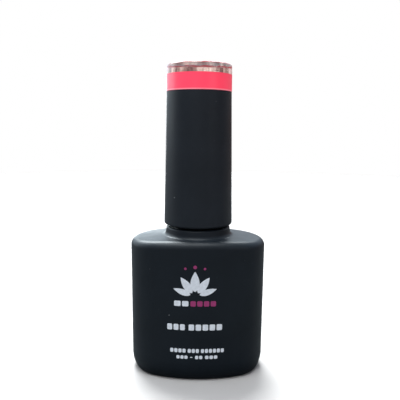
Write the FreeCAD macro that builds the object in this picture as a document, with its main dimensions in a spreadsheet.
import FreeCAD, Part
import os
import math
import Sketcher

# Nail polish bottle, 12 ml class: oval glass bottle with a black soft-touch
# coat, screw cap with a colour band and a clear top, and the brush in the cap.
# Units are mm.  +Z is up, the base rests on z = 0, the bottle's axis is x = y = 0,
# the wide side of the oval runs along X and the printed front faces -Y.

doc = FreeCAD.newDocument("nail_polish_bottle")

# ---------------------------------------------------------------- dimensions
DIMENSIONS = [
    # oval bottle, outside
    ("body_half_width", 17.72),
    ("body_half_depth", 10.6),
    ("front_radius", 35.8),
    ("heel_inset", 2.1),
    ("heel_height", 4.8),
    ("wall_flare", 0.15),
    ("shoulder_apex_z", 38.2),
    ("shoulder_drop", 0.119),
    ("rim_round", 1.95),
    ("prism_top_z", 38.6),
    # collar and 13-415 neck
    ("collar_radius_low", 8.55),
    ("collar_radius_high", 8.4),
    ("collar_z", 39.45),
    ("collar_round", 1.1),
    ("collar_lip", 0.55),
    ("neck_radius", 5.65),
    ("lip_z", 51.0),
    ("lip_round", 0.45),
    ("bore_radius", 4.2),
    ("thread_pitch", 2.117),
    ("neck_thread_radius", 6.4),
    ("neck_thread_z", 43.6),
    ("neck_thread_rise", 4.6),
    ("bead_radius", 6.35),
    ("bead_z", 41.9),
    # cavity
    ("wall", 2.05),
    ("floor_z", 2.9),
    ("cavity_round", 2.4),
    ("cavity_top_z", 33.2),
    ("cavity_dome_z", 34.9),
    ("roof_inset", 3.2),
    ("base_recess_depth", 0.45),
    ("base_ring_width", 2.2),
    # polish and mixing balls
    ("skin", 0.1),
    ("polish_level_z", 32.25),
    ("ball_radius", 2.2),
    ("ball_lift", 0.05),
    ("ball_one_x", -8.6),
    ("ball_one_y", 1.4),
    ("ball_two_x", 7.9),
    ("ball_two_y", -2.2),
    # cap shell
    ("shell_z", 39.95),
    ("shell_top_z", 74.3),
    ("shell_radius_low", 9.0),
    ("shell_radius_high", 8.365),
    ("shell_wall", 1.0),
    ("shell_foot_round", 0.6),
    ("shell_step_z", 54.2),
    ("shell_step", 0.35),
    # inner cap
    ("inner_z", 40.75),
    ("deck_z", 53.0),
    ("deck_top_z", 54.2),
    ("skirt_radius_in", 6.95),
    ("skirt_radius_out", 7.45),
    ("cap_thread_radius", 6.5),
    ("cap_thread_z", 44.3),
    ("cap_thread_rise", 4.3),
    ("foot_flange_radius", 7.88),
    ("foot_flange_height", 0.9),
    ("rib_width", 0.7),
    ("rib_radius", 7.68),
    ("hub_radius", 3.5),
    ("hub_bore_radius", 2.35),
    ("hub_top_z", 63.0),
    ("hub_bore_top_z", 61.4),
    ("spider_radius", 7.28),
    ("spider_z", 58.6),
    ("spider_height", 1.4),
    ("deck_rim_radius", 7.66),
    # liner
    ("liner_radius_out", 6.2),
    ("liner_radius_in", 2.25),
    # brush
    ("flange_z", 52.0),
    ("flange_radius", 5.6),
    ("stem_radius_high", 1.9),
    ("stem_radius_low", 1.6),
    ("stem_bottom_z", 20.0),
    ("head_radius", 2.3),
    ("head_top_z", 61.0),
    ("socket_radius", 1.15),
    ("socket_top_z", 25.2),
    ("bristle_neck_radius", 1.12),
    ("bristle_top_z", 24.6),
    ("bristle_belly_radius", 1.75),
    ("bristle_belly_z", 11.5),
    ("bristle_tip_z", 5.2),
    ("bristle_tip_radius", 0.55),
    ("anchor_thick", 0.36),
    ("anchor_width", 1.9),
    ("anchor_z", 23.9),
    ("anchor_top_z", 25.0),
    # colour band and clear top
    ("band_top_z", 78.5),
    ("band_radius_low", 8.43),
    ("band_radius_high", 8.39),
    ("band_spigot_radius", 7.3),
    ("band_spigot_z", 70.9),
    ("band_wall", 1.2),
    ("band_floor", 1.0),
    ("clear_top_z", 80.95),
    ("clear_radius_low", 8.39),
    ("clear_radius_high", 8.33),
    ("clear_edge", 0.3),
    ("clear_spigot_radius", 6.1),
    ("clear_spigot_z", 77.6),
]

table = doc.addObject("Spreadsheet::Sheet", "Dimensions")
for row, (alias, value) in enumerate(DIMENSIONS, start=1):
    table.set("A%d" % row, alias)
    table.set("B%d" % row, repr(value))
    table.setAlias("B%d" % row, alias)
doc.recompute()

VALUES = dict(DIMENSIONS)


class Q:
    """A length that carries its value and the spreadsheet expression it comes from."""

    def __init__(self, value, text):
        self.value = float(value)
        self.text = text

    @staticmethod
    def of(other):
        if isinstance(other, Q):
            return other
        return Q(other, repr(float(other)))

    def __add__(self, other):
        other = Q.of(other)
        return Q(self.value + other.value, "(%s + %s)" % (self.text, other.text))

    __radd__ = __add__

    def __sub__(self, other):
        other = Q.of(other)
        return Q(self.value - other.value, "(%s - %s)" % (self.text, other.text))

    def __rsub__(self, other):
        return Q.of(other) - self

    def __mul__(self, other):
        other = Q.of(other)
        return Q(self.value * other.value, "(%s * %s)" % (self.text, other.text))

    __rmul__ = __mul__

    def __truediv__(self, other):
        other = Q.of(other)
        return Q(self.value / other.value, "(%s / %s)" % (self.text, other.text))

    def __neg__(self):
        return Q(-self.value, "(0 - %s)" % self.text)


def d(alias):
    return Q(VALUES[alias], "Dimensions." + alias)


def root(q):
    return Q(math.sqrt(q.value), "sqrt(%s)" % q.text)


ZERO = Q(0.0, "0")


# ------------------------------------------------------------------- helpers
def new_body(name):
    body = doc.addObject("PartDesign::Body", name)
    body.Label = name
    return body


def plane_of(body, role):
    for feature in body.Origin.OriginFeatures:
        if feature.Role == role:
            return feature
    raise RuntimeError("no plane " + role)


def new_sketch(body, name, role="XY_Plane", height=None):
    sketch = body.newObject("Sketcher::SketchObject", name)
    sketch.AttachmentSupport = [(plane_of(body, role), "")]
    sketch.MapMode = "FlatFace"
    if height is not None:
        sketch.AttachmentOffset = FreeCAD.Placement(
            FreeCAD.Vector(0, 0, Q.of(height).value), FreeCAD.Rotation()
        )
        sketch.setExpression("AttachmentOffset.Base.z", Q.of(height).text)
    return sketch


def datum(sketch, kind, args, q):
    index = sketch.addConstraint(Sketcher.Constraint(kind, *args, q.value))
    sketch.setExpression("Constraints[%d]" % index, q.text)


def place(sketch, geo, pos, x, y):
    """Fix one end of a curve at (x, y); an exact zero goes on the axis."""
    if abs(x.value) < 1e-9:
        sketch.addConstraint(Sketcher.Constraint("PointOnObject", geo, pos, -2))
    else:
        datum(sketch, "DistanceX", (-1, 1, geo, pos), x)
    if abs(y.value) < 1e-9:
        sketch.addConstraint(Sketcher.Constraint("PointOnObject", geo, pos, -1))
    else:
        datum(sketch, "DistanceY", (-1, 1, geo, pos), y)


def polygon(sketch, points):
    """Closed outline of straight lines, each corner driven by the table."""
    points = [(Q.of(x), Q.of(y)) for x, y in points]
    first = sketch.GeometryCount
    count = len(points)
    for i in range(count):
        a, b = points[i], points[(i + 1) % count]
        sketch.addGeometry(
            Part.LineSegment(
                FreeCAD.Vector(a[0].value, a[1].value, 0),
                FreeCAD.Vector(b[0].value, b[1].value, 0),
            ),
            False,
        )
    for i in range(count):
        sketch.addConstraint(
            Sketcher.Constraint("Coincident", first + i, 2, first + (i + 1) % count, 1)
        )
    for i in range(count):
        place(sketch, first + i, 1, points[i][0], points[i][1])


def circle(sketch, x, y, radius):
    x, y, radius = Q.of(x), Q.of(y), Q.of(radius)
    geo = sketch.addGeometry(
        Part.Circle(FreeCAD.Vector(x.value, y.value, 0), FreeCAD.Vector(0, 0, 1), radius.value),
        False,
    )
    place(sketch, geo, 3, x, y)
    datum(sketch, "Radius", (geo,), radius)


def oval(sketch, inset):
    """Four-arc oval parallel to the bottle's outline, moved in by inset."""
    inset = Q.of(inset)
    a, b, big = d("body_half_width"), d("body_half_depth"), d("front_radius")
    small = (2 * big * b - a * a - b * b) / (2 * (big - a))
    xc = a - small
    yc = big - b
    span = big - small
    px = xc * (span + small - inset) / span
    py = (small - inset) * yc / span
    big_r, small_r = big - inset, small - inset
    beta = math.atan2(xc.value, yc.value)
    gamma = math.atan2(yc.value, xc.value)
    z = FreeCAD.Vector(0, 0, 1)
    arcs = [
        (0.0, yc.value, big_r, -math.pi / 2 - beta, -math.pi / 2 + beta),
        (xc.value, 0.0, small_r, -gamma, gamma),
        (0.0, -yc.value, big_r, math.pi / 2 - beta, math.pi / 2 + beta),
        (-xc.value, 0.0, small_r, math.pi - gamma, math.pi + gamma),
    ]
    corners = [(px, -py), (px, py), (-px, py), (-px, -py)]
    for cx, cy, r, start, stop in arcs:
        sketch.addGeometry(
            Part.ArcOfCircle(Part.Circle(FreeCAD.Vector(cx, cy, 0), z, r.value), start, stop), False
        )
    for i in range(4):
        sketch.addConstraint(Sketcher.Constraint("Coincident", i, 2, (i + 1) % 4, 1))
    for i in range(4):
        place(sketch, i, 2, corners[i][0], corners[i][1])
    for i in range(4):
        datum(sketch, "Radius", (i,), arcs[i][2])


def pad(body, name, sketch, length, down=False):
    feature = body.newObject("PartDesign::Pad", name)
    feature.Profile = sketch
    feature.Length = Q.of(length).value
    feature.setExpression("Length", Q.of(length).text)
    feature.Reversed = down
    sketch.Visibility = False
    body.Tip = feature
    return feature


def pocket(body, name, sketch, length, up=True):
    """Cut from the sketch plane, upwards unless told otherwise."""
    feature = body.newObject("PartDesign::Pocket", name)
    feature.Profile = sketch
    feature.Length = Q.of(length).value
    feature.setExpression("Length", Q.of(length).text)
    feature.Reversed = up
    sketch.Visibility = False
    body.Tip = feature
    return feature


def turned(body, name, sketch, kind="PartDesign::Revolution"):
    feature = body.newObject(kind, name)
    feature.Profile = sketch
    feature.ReferenceAxis = (sketch, ["V_Axis"])
    feature.Angle = 360.0
    sketch.Visibility = False
    body.Tip = feature
    return feature


def loft(body, name, sketches, cut=False):
    kind = "PartDesign::SubtractiveLoft" if cut else "PartDesign::AdditiveLoft"
    feature = body.newObject(kind, name)
    feature.Profile = sketches[0]
    feature.Sections = sketches[1:]
    feature.Ruled = False
    feature.Closed = False
    for sketch in sketches:
        sketch.Visibility = False
    body.Tip = feature
    return feature


def ring_edges(shape, radius, z, tol=0.02):
    """Circles about the Z axis with this radius and height."""
    names = []
    for i, edge in enumerate(shape.Edges, start=1):
        curve = edge.Curve
        if curve.TypeId != "Part::GeomCircle":
            continue
        c = curve.Center
        if math.hypot(c.x, c.y) > 1e-4 or abs(c.z - z) > tol or abs(curve.Radius - radius) > tol:
            continue
        names.append("Edge%d" % i)
    return names


def soften(body, name, base, names, size, kind="PartDesign::Fillet"):
    if not names:
        raise RuntimeError("no edges for " + name)
    feature = body.newObject(kind, name)
    feature.Base = (base, names)
    prop = "Radius" if kind.endswith("Fillet") else "Size"
    setattr(feature, prop, Q.of(size).value)
    feature.setExpression(prop, Q.of(size).text)
    body.Tip = feature
    return feature


def helix(body, name, sketch, pitch, height):
    feature = body.newObject("PartDesign::AdditiveHelix", name)
    feature.Profile = sketch
    feature.ReferenceAxis = (sketch, ["V_Axis"])
    feature.Mode = 0
    feature.Pitch = pitch.value
    feature.Height = height.value
    feature.setExpression("Pitch", pitch.text)
    feature.setExpression("Height", height.text)
    feature.LeftHanded = False
    sketch.Visibility = False
    body.Tip = feature
    return feature


# -------------------------------------------------------------- glass bottle
bottle = new_body("glass_bottle")

# heel: a quarter ellipse from the base ring up to the side wall
STEPS = 6
heel = []
for i in range(STEPS + 1):
    angle = math.pi / 2 * i / STEPS
    inset = d("heel_inset") * (1 - math.sin(angle)) if i < STEPS else ZERO
    height = d("heel_height") * (1 - math.cos(angle)) if i < STEPS else d("heel_height")
    section = new_sketch(bottle, "heel_section_%d" % i, height=height if i else None)
    oval(section, inset)
    heel.append(section)
doc.recompute()
heel_loft = loft(bottle, "heel", heel)
doc.recompute()

# side wall: a prism, drawn in slightly at the bottom
low = new_sketch(bottle, "wall_low", height=d("heel_height"))
oval(low, ZERO)
high = new_sketch(bottle, "wall_high", height=d("prism_top_z"))
oval(high, -d("wall_flare"))
doc.recompute()
side = loft(bottle, "side_wall", [low, high])
doc.recompute()

# shoulder: everything above a shallow cone is turned away
cone = new_sketch(bottle, "shoulder_cone", "XZ_Plane")
far = 2 * d("body_half_width")
polygon(
    cone,
    [
        (ZERO, d("shoulder_apex_z")),
        (far, d("shoulder_apex_z") - d("shoulder_drop") * far),
        (far, d("lip_z")),
        (ZERO, d("lip_z")),
    ],
)
doc.recompute()
before = side.Shape.Volume
shoulder = turned(bottle, "shoulder", cone, "PartDesign::Groove")
doc.recompute()
print("shoulder cut", round(before - shoulder.Shape.Volume, 1))


def rim_edges(shape):
    names = []
    for i, edge in enumerate(shape.Edges, start=1):
        box = edge.BoundBox
        if box.ZMin < 30 or box.ZMax > 39.5:
            continue
        mid = edge.valueAt((edge.FirstParameter + edge.LastParameter) / 2)
        cone_z = VALUES["shoulder_apex_z"] - VALUES["shoulder_drop"] * math.hypot(mid.x, mid.y)
        if abs(mid.z - cone_z) < 0.02 and math.hypot(mid.x, mid.y) > 9.5:
            if box.ZMax - box.ZMin < 2.5:
                names.append("Edge%d" % i)
    return names


rim = soften(bottle, "shoulder_round", shoulder, rim_edges(shoulder.Shape), d("rim_round"))
doc.recompute()

# collar and neck
neck = new_sketch(bottle, "neck_profile", "XZ_Plane")
polygon(
    neck,
    [
        (ZERO, d("prism_top_z") - 3),
        (d("collar_radius_low"), d("prism_top_z") - 3),
        (d("collar_radius_low"), d("prism_top_z") - 0.4),
        (d("collar_radius_high"), d("collar_z")),
        (d("neck_radius"), d("collar_z")),
        (d("neck_radius"), d("bead_z") - 0.9),
        (d("bead_radius"), d("bead_z") - 0.5),
        (d("bead_radius"), d("bead_z")),
        (d("neck_radius"), d("bead_z") + 0.4),
        (d("neck_radius"), d("lip_z")),
        (ZERO, d("lip_z")),
    ],
)
doc.recompute()
neck_turned = turned(bottle, "neck", neck)
doc.recompute()
lip = soften(
    bottle,
    "lip_round",
    neck_turned,
    ring_edges(neck_turned.Shape, VALUES["neck_radius"], VALUES["lip_z"]),
    d("lip_round"),
)
doc.recompute()

# collar foot: a concave blend where the collar meets the shoulder
def foot_edges(shape):
    names = []
    for i, edge in enumerate(shape.Edges, start=1):
        box = edge.BoundBox
        if box.ZMin < 34.0 or box.ZMax > 38.0:
            continue
        if edge.Curve.TypeId != "Part::GeomCircle":
            continue
        if abs(edge.Curve.Radius - VALUES["collar_radius_low"]) < 0.02 and box.ZMax < 37.6:
            names.append("Edge%d" % i)
    return names


collar_foot = soften(
    bottle, "collar_foot", lip, foot_edges(lip.Shape), d("collar_round")
)
doc.recompute()
print("collar foot adds", round(collar_foot.Shape.Volume - lip.Shape.Volume, 2))
lip = soften(
    bottle,
    "collar_lip",
    collar_foot,
    ring_edges(collar_foot.Shape, VALUES["collar_radius_high"], VALUES["collar_z"]),
    d("collar_lip"),
)
doc.recompute()
print("collar lip takes", round(collar_foot.Shape.Volume - lip.Shape.Volume, 2))

# cavity: oval chamber, domed roof and straight bore
chamber = new_sketch(bottle, "cavity_section", height=d("floor_z"))
oval(chamber, d("wall"))
doc.recompute()
before = lip.Shape.Volume
cavity = pocket(bottle, "cavity", chamber, d("cavity_top_z") - d("floor_z"))
doc.recompute()
print("cavity cut", round(before - cavity.Shape.Volume, 1))
roof_low = new_sketch(bottle, "roof_low", height=d("cavity_top_z"))
oval(roof_low, d("wall"))
roof_high = new_sketch(bottle, "roof_high", height=d("cavity_dome_z"))
oval(roof_high, d("wall") + d("roof_inset"))
doc.recompute()
roof = loft(bottle, "cavity_roof", [roof_low, roof_high], cut=True)
doc.recompute()
print("roof cut", round(cavity.Shape.Volume - roof.Shape.Volume, 1))
bore_sketch = new_sketch(bottle, "bore_circle", height=d("cavity_top_z"))
circle(bore_sketch, ZERO, ZERO, d("bore_radius"))
doc.recompute()
bore = pocket(bottle, "neck_bore", bore_sketch, d("lip_z") - d("cavity_top_z") + 1)
doc.recompute()
print("bore cut", round(roof.Shape.Volume - bore.Shape.Volume, 1))


def level_edges(shape, z, inside_x, inside_y):
    """Edges lying flat at one height, within a box about the axis."""
    names = []
    for i, edge in enumerate(shape.Edges, start=1):
        box = edge.BoundBox
        if abs(box.ZMin - z) > 0.01 or abs(box.ZMax - z) > 0.01:
            continue
        if max(abs(box.XMin), abs(box.XMax)) > inside_x or max(abs(box.YMin), abs(box.YMax)) > inside_y:
            continue
        names.append("Edge%d" % i)
    return names


floor_round = soften(
    bottle,
    "cavity_heel",
    bore,
    level_edges(bore.Shape, VALUES["floor_z"], 16.0, 9.5),
    d("cavity_round"),
)
doc.recompute()

# base ring: the middle of the base is drawn in
recess = new_sketch(bottle, "base_recess_outline")
oval(recess, d("heel_inset") + d("base_ring_width"))
doc.recompute()
base_recess = pocket(bottle, "base_recess", recess, d("base_recess_depth"))
doc.recompute()
print("recess cut", round(floor_round.Shape.Volume - base_recess.Shape.Volume, 1))

# neck thread
ridge = new_sketch(bottle, "neck_thread_profile", "XZ_Plane")
polygon(
    ridge,
    [
        (d("neck_radius") - 0.25, d("neck_thread_z") - 0.62),
        (d("neck_radius") - 0.25, d("neck_thread_z") + 0.62),
        (d("neck_thread_radius"), d("neck_thread_z") + 0.25),
        (d("neck_thread_radius"), d("neck_thread_z") - 0.25),
    ],
)
doc.recompute()
neck_thread = helix(bottle, "neck_thread", ridge, d("thread_pitch"), d("neck_thread_rise"))
doc.recompute()

# -------------------------------------------------------------------- polish
polish = new_body("gel_polish")
fill = new_sketch(polish, "fill_section", height=d("floor_z") + d("skin"))
oval(fill, d("wall") + d("skin"))
doc.recompute()
fill_pad = pad(polish, "fill", fill, d("polish_level_z") - d("floor_z") - d("skin"))
doc.recompute()
fill_heel = soften(
    polish,
    "fill_heel",
    fill_pad,
    level_edges(fill_pad.Shape, VALUES["floor_z"] + VALUES["skin"], 16.0, 9.5),
    d("cavity_round"),
)
doc.recompute()
brush_room = new_sketch(polish, "brush_room_profile", "XZ_Plane")
polygon(
    brush_room,
    [
        (ZERO, d("bristle_tip_z") - 2 * d("skin")),
        (d("bristle_tip_radius") + 2 * d("skin"), d("bristle_tip_z") - 2 * d("skin")),
        (d("bristle_tip_radius") * 2.1 + 2 * d("skin"), d("bristle_tip_z") + 0.9),
        (d("bristle_belly_radius") * 0.93 + 2 * d("skin"), d("bristle_tip_z") + 3.0),
        (d("bristle_belly_radius") + 2 * d("skin"), d("bristle_belly_z") - d("skin")),
        (d("bristle_belly_radius") + 2 * d("skin"), d("stem_bottom_z")),
        (d("stem_radius_high") + d("skin"), d("polish_level_z") + 1),
        (ZERO, d("polish_level_z") + 1),
    ],
)
doc.recompute()
brush_hollow = turned(polish, "brush_room", brush_room, "PartDesign::Groove")
doc.recompute()
print("brush room", round(fill_heel.Shape.Volume - brush_hollow.Shape.Volume, 1))
last = brush_hollow
for tag in ("one", "two"):
    room = polish.newObject("PartDesign::SubtractiveSphere", "ball_room_" + tag)
    room.Radius = VALUES["ball_radius"] + VALUES["skin"]
    room.setExpression("Radius", (d("ball_radius") + d("skin")).text)
    centre = (
        d("ball_%s_x" % tag),
        d("ball_%s_y" % tag),
        d("floor_z") + d("ball_radius") + d("ball_lift"),
    )
    room.Placement = FreeCAD.Placement(
        FreeCAD.Vector(*[c.value for c in centre]), FreeCAD.Rotation()
    )
    for key, q in zip("xyz", centre):
        room.setExpression("Placement.Base." + key, q.text)
    polish.Tip = room
    doc.recompute()
    print("ball room", round(last.Shape.Volume - room.Shape.Volume, 1))
    last = room

# -------------------------------------------------------------- mixing balls
for tag, name in (("one", "mixing_ball_1"), ("two", "mixing_ball_2")):
    ball = doc.addObject("Part::Sphere", name)
    ball.Label = name
    ball.Radius = VALUES["ball_radius"]
    ball.setExpression("Radius", d("ball_radius").text)
    centre = (
        d("ball_%s_x" % tag),
        d("ball_%s_y" % tag),
        d("floor_z") + d("ball_radius") + d("ball_lift"),
    )
    ball.Placement = FreeCAD.Placement(
        FreeCAD.Vector(*[c.value for c in centre]), FreeCAD.Rotation()
    )
    for key, q in zip("xyz", centre):
        ball.setExpression("Placement.Base." + key, q.text)

# ----------------------------------------------------------- cap outer shell
shell = new_body("cap_outer_shell")


def shell_radius(z):
    t = (Q.of(z) - d("shell_z")) / (d("shell_top_z") - d("shell_z"))
    return d("shell_radius_low") + (d("shell_radius_high") - d("shell_radius_low")) * t


shell_profile = new_sketch(shell, "shell_profile", "XZ_Plane")
polygon(
    shell_profile,
    [
        (d("shell_radius_low") - d("shell_wall"), d("shell_z")),
        (d("shell_radius_low"), d("shell_z")),
        (d("shell_radius_high"), d("shell_top_z")),
        (d("shell_radius_high") - d("shell_wall"), d("shell_top_z")),
        (d("shell_radius_high") - d("shell_wall"), d("band_spigot_z") - 0.3),
        (shell_radius(d("shell_step_z")) - d("shell_wall") - d("shell_step"), d("shell_step_z")),
        (shell_radius(d("shell_step_z")) - d("shell_wall"), d("shell_step_z")),
    ],
)
doc.recompute()
shell_turned = turned(shell, "shell", shell_profile)
doc.recompute()
shell_foot = soften(
    shell,
    "shell_foot",
    shell_turned,
    ring_edges(shell_turned.Shape, VALUES["shell_radius_low"], VALUES["shell_z"]),
    d("shell_foot_round"),
)
doc.recompute()

# ----------------------------------------------------------------- inner cap
inner = new_body("inner_cap")
inner_profile = new_sketch(inner, "inner_profile", "XZ_Plane")
polygon(
    inner_profile,
    [
        (d("skirt_radius_in"), d("inner_z")),
        (d("foot_flange_radius"), d("inner_z")),
        (d("foot_flange_radius"), d("inner_z") + d("foot_flange_height")),
        (d("skirt_radius_out"), d("inner_z") + d("foot_flange_height")),
        (d("skirt_radius_out"), d("deck_z") - 0.2),
        (d("deck_rim_radius"), d("deck_z")),
        (d("deck_rim_radius"), d("deck_top_z")),
        (d("hub_radius"), d("deck_top_z")),
        (d("hub_radius"), d("hub_top_z")),
        (ZERO, d("hub_top_z")),
        (ZERO, d("hub_bore_top_z")),
        (d("hub_bore_radius"), d("hub_bore_top_z")),
        (d("hub_bore_radius"), d("deck_z")),
        (d("skirt_radius_in"), d("deck_z")),
    ],
)
doc.recompute()
inner_turned = turned(inner, "skirt_deck_hub", inner_profile)
doc.recompute()
rib = new_sketch(inner, "rib_section", height=d("inner_z") + d("foot_flange_height") / 2)
polygon(
    rib,
    [
        (d("skirt_radius_out") - 0.2, -d("rib_width") / 2),
        (d("rib_radius"), -d("rib_width") / 2),
        (d("rib_radius"), d("rib_width") / 2),
        (d("skirt_radius_out") - 0.2, d("rib_width") / 2),
    ],
)
doc.recompute()
rib_pad = pad(inner, "rib", rib, d("deck_z") - d("inner_z") - d("foot_flange_height") / 2 - 0.6)
doc.recompute()
ribs = inner.newObject("PartDesign::PolarPattern", "ribs")
ribs.Originals = [rib_pad]
ribs.Axis = (rib, ["N_Axis"])
ribs.Angle = 360
ribs.Occurrences = 8
inner.Tip = ribs
doc.recompute()
spoke = new_sketch(inner, "spoke_section", height=d("spider_z"))
polygon(
    spoke,
    [
        (-d("spider_radius"), -d("rib_width")),
        (d("spider_radius"), -d("rib_width")),
        (d("spider_radius"), d("rib_width")),
        (-d("spider_radius"), d("rib_width")),
    ],
)
circle(spoke, ZERO, ZERO, d("hub_bore_radius"))
doc.recompute()
spoke_pad = pad(inner, "spoke", spoke, d("spider_height"))
doc.recompute()
spokes = inner.newObject("PartDesign::PolarPattern", "spokes")
spokes.Originals = [spoke_pad]
spokes.Axis = (spoke, ["N_Axis"])
spokes.Angle = 180
spokes.Occurrences = 2
inner.Tip = spokes
doc.recompute()
cap_ridge = new_sketch(inner, "cap_thread_profile", "XZ_Plane")
polygon(
    cap_ridge,
    [
        (d("skirt_radius_in") + 0.25, d("cap_thread_z") - 0.6),
        (d("cap_thread_radius"), d("cap_thread_z") - 0.2),
        (d("cap_thread_radius"), d("cap_thread_z") + 0.2),
        (d("skirt_radius_in") + 0.25, d("cap_thread_z") + 0.6),
    ],
)
doc.recompute()
cap_thread = helix(inner, "cap_thread", cap_ridge, d("thread_pitch"), d("cap_thread_rise"))
doc.recompute()

# --------------------------------------------------------------- seal liner
liner = new_body("seal_liner")
liner_sketch = new_sketch(liner, "liner_outline", height=d("lip_z"))
circle(liner_sketch, ZERO, ZERO, d("liner_radius_out"))
circle(liner_sketch, ZERO, ZERO, d("liner_radius_in"))
doc.recompute()
pad(liner, "liner", liner_sketch, d("flange_z") - d("lip_z"))
doc.recompute()

# ---------------------------------------------------------------- brush rod
rod = new_body("brush_rod")
rod_profile = new_sketch(rod, "rod_profile", "XZ_Plane")
polygon(
    rod_profile,
    [
        (d("socket_radius"), d("stem_bottom_z")),
        (d("stem_radius_low"), d("stem_bottom_z")),
        (d("stem_radius_high"), d("flange_z")),
        (d("flange_radius"), d("flange_z")),
        (d("flange_radius"), d("deck_z")),
        (d("head_radius"), d("deck_z")),
        (d("head_radius"), d("head_top_z") - 0.5),
        (d("head_radius") - 0.5, d("head_top_z")),
        (ZERO, d("head_top_z")),
        (ZERO, d("socket_top_z")),
        (d("socket_radius"), d("socket_top_z")),
    ],
)
doc.recompute()
rod_turned = turned(rod, "rod", rod_profile)
doc.recompute()
rod_end = soften(
    rod,
    "rod_end",
    rod_turned,
    ring_edges(rod_turned.Shape, VALUES["stem_radius_low"], VALUES["stem_bottom_z"]),
    0.2,
)
doc.recompute()

# ------------------------------------------------------------ anchor staple
anchor = new_body("anchor_staple")
anchor_sketch = new_sketch(anchor, "anchor_section", height=d("anchor_z"))
polygon(
    anchor_sketch,
    [
        (-d("anchor_width") / 2, -d("anchor_thick") / 2),
        (d("anchor_width") / 2, -d("anchor_thick") / 2),
        (d("anchor_width") / 2, d("anchor_thick") / 2),
        (-d("anchor_width") / 2, d("anchor_thick") / 2),
    ],
)
doc.recompute()
pad(anchor, "anchor", anchor_sketch, d("anchor_top_z") - d("anchor_z"))
doc.recompute()

# ----------------------------------------------------------------- bristles
bristles = new_body("bristles")
tuft = new_sketch(bristles, "tuft_profile", "XZ_Plane")
polygon(
    tuft,
    [
        (ZERO, d("bristle_tip_z")),
        (d("bristle_tip_radius"), d("bristle_tip_z") + 0.1),
        (d("bristle_tip_radius") * 2.1, d("bristle_tip_z") + 1.1),
        (d("bristle_belly_radius") * 0.93, d("bristle_tip_z") + 3.2),
        (d("bristle_belly_radius"), d("bristle_belly_z")),
        (d("bristle_belly_radius") * 0.86, d("stem_bottom_z") - 3.0),
        (d("bristle_neck_radius"), d("stem_bottom_z") - 0.4),
        (d("bristle_neck_radius"), d("bristle_top_z")),
        (ZERO, d("bristle_top_z")),
    ],
)
doc.recompute()
tuft_turned = turned(bristles, "tuft", tuft)
doc.recompute()
slot = new_sketch(bristles, "anchor_slot", height=d("anchor_z"))
polygon(
    slot,
    [
        (-d("bristle_neck_radius") - 0.2, -d("anchor_thick") / 2),
        (d("bristle_neck_radius") + 0.2, -d("anchor_thick") / 2),
        (d("bristle_neck_radius") + 0.2, d("anchor_thick") / 2),
        (-d("bristle_neck_radius") - 0.2, d("anchor_thick") / 2),
    ],
)
doc.recompute()
slot_cut = pocket(bristles, "anchor_slot_cut", slot, d("bristle_top_z") - d("anchor_z") + 0.5)
doc.recompute()
print("slot cut", round(tuft_turned.Shape.Volume - slot_cut.Shape.Volume, 2))

# -------------------------------------------------------------- colour band
band = new_body("colour_band")
band_profile = new_sketch(band, "band_profile", "XZ_Plane")
polygon(
    band_profile,
    [
        (d("band_spigot_radius") - d("band_wall"), d("band_spigot_z")),
        (d("band_spigot_radius"), d("band_spigot_z")),
        (d("band_spigot_radius"), d("shell_top_z")),
        (d("band_radius_low"), d("shell_top_z")),
        (d("band_radius_high"), d("band_top_z")),
        (d("clear_spigot_radius") + 0.03, d("band_top_z")),
        (d("clear_spigot_radius") + 0.03, d("clear_spigot_z")),
        (ZERO, d("clear_spigot_z")),
        (ZERO, d("clear_spigot_z") - d("band_floor")),
        (d("band_spigot_radius") - d("band_wall"), d("clear_spigot_z") - d("band_floor")),
    ],
)
doc.recompute()
band_turned = turned(band, "band", band_profile)
doc.recompute()
band_edge = soften(
    band,
    "band_foot",
    band_turned,
    ring_edges(band_turned.Shape, VALUES["band_radius_low"], VALUES["shell_top_z"]),
    0.15,
)
doc.recompute()

# ---------------------------------------------------------------- clear top
clear = new_body("clear_top")
clear_profile = new_sketch(clear, "clear_profile", "XZ_Plane")
polygon(
    clear_profile,
    [
        (ZERO, d("clear_spigot_z")),
        (d("clear_spigot_radius"), d("clear_spigot_z")),
        (d("clear_spigot_radius"), d("band_top_z")),
        (d("clear_radius_low"), d("band_top_z")),
        (d("clear_radius_high"), d("clear_top_z")),
        (ZERO, d("clear_top_z")),
    ],
)
doc.recompute()
clear_turned = turned(clear, "clear_disc", clear_profile)
doc.recompute()
clear_edge = soften(
    clear,
    "clear_edge",
    clear_turned,
    ring_edges(clear_turned.Shape, VALUES["clear_radius_high"], VALUES["clear_top_z"]),
    d("clear_edge"),
)
doc.recompute()

# -------------------------------------------------------------------- export
NODES = [
    "glass_bottle",
    "gel_polish",
    "mixing_ball_1",
    "mixing_ball_2",
    "seal_liner",
    "brush_rod",
    "anchor_staple",
    "bristles",
    "inner_cap",
    "cap_outer_shell",
    "colour_band",
    "clear_top",
]

doc.recompute()
for item in doc.Objects:
    if "Invalid" in item.State or "Error" in item.State:
        raise RuntimeError("%s is in state %s" % (item.Name, item.State))
os.makedirs("parts", exist_ok=True)
for name in NODES:
    item = doc.getObject(name)
    shape = item.Shape
    if shape.isNull() or not shape.isValid() or len(shape.Solids) != 1:
        raise RuntimeError("%s: bad shape, %d solids" % (name, len(shape.Solids)))
    shape.exportStep("parts/%s.step" % name)
    print(
        "%-16s volume %9.2f mm3  z %6.2f to %6.2f  faces %d"
        % (name, shape.Volume, shape.BoundBox.ZMin, shape.BoundBox.ZMax, len(shape.Faces))
    )
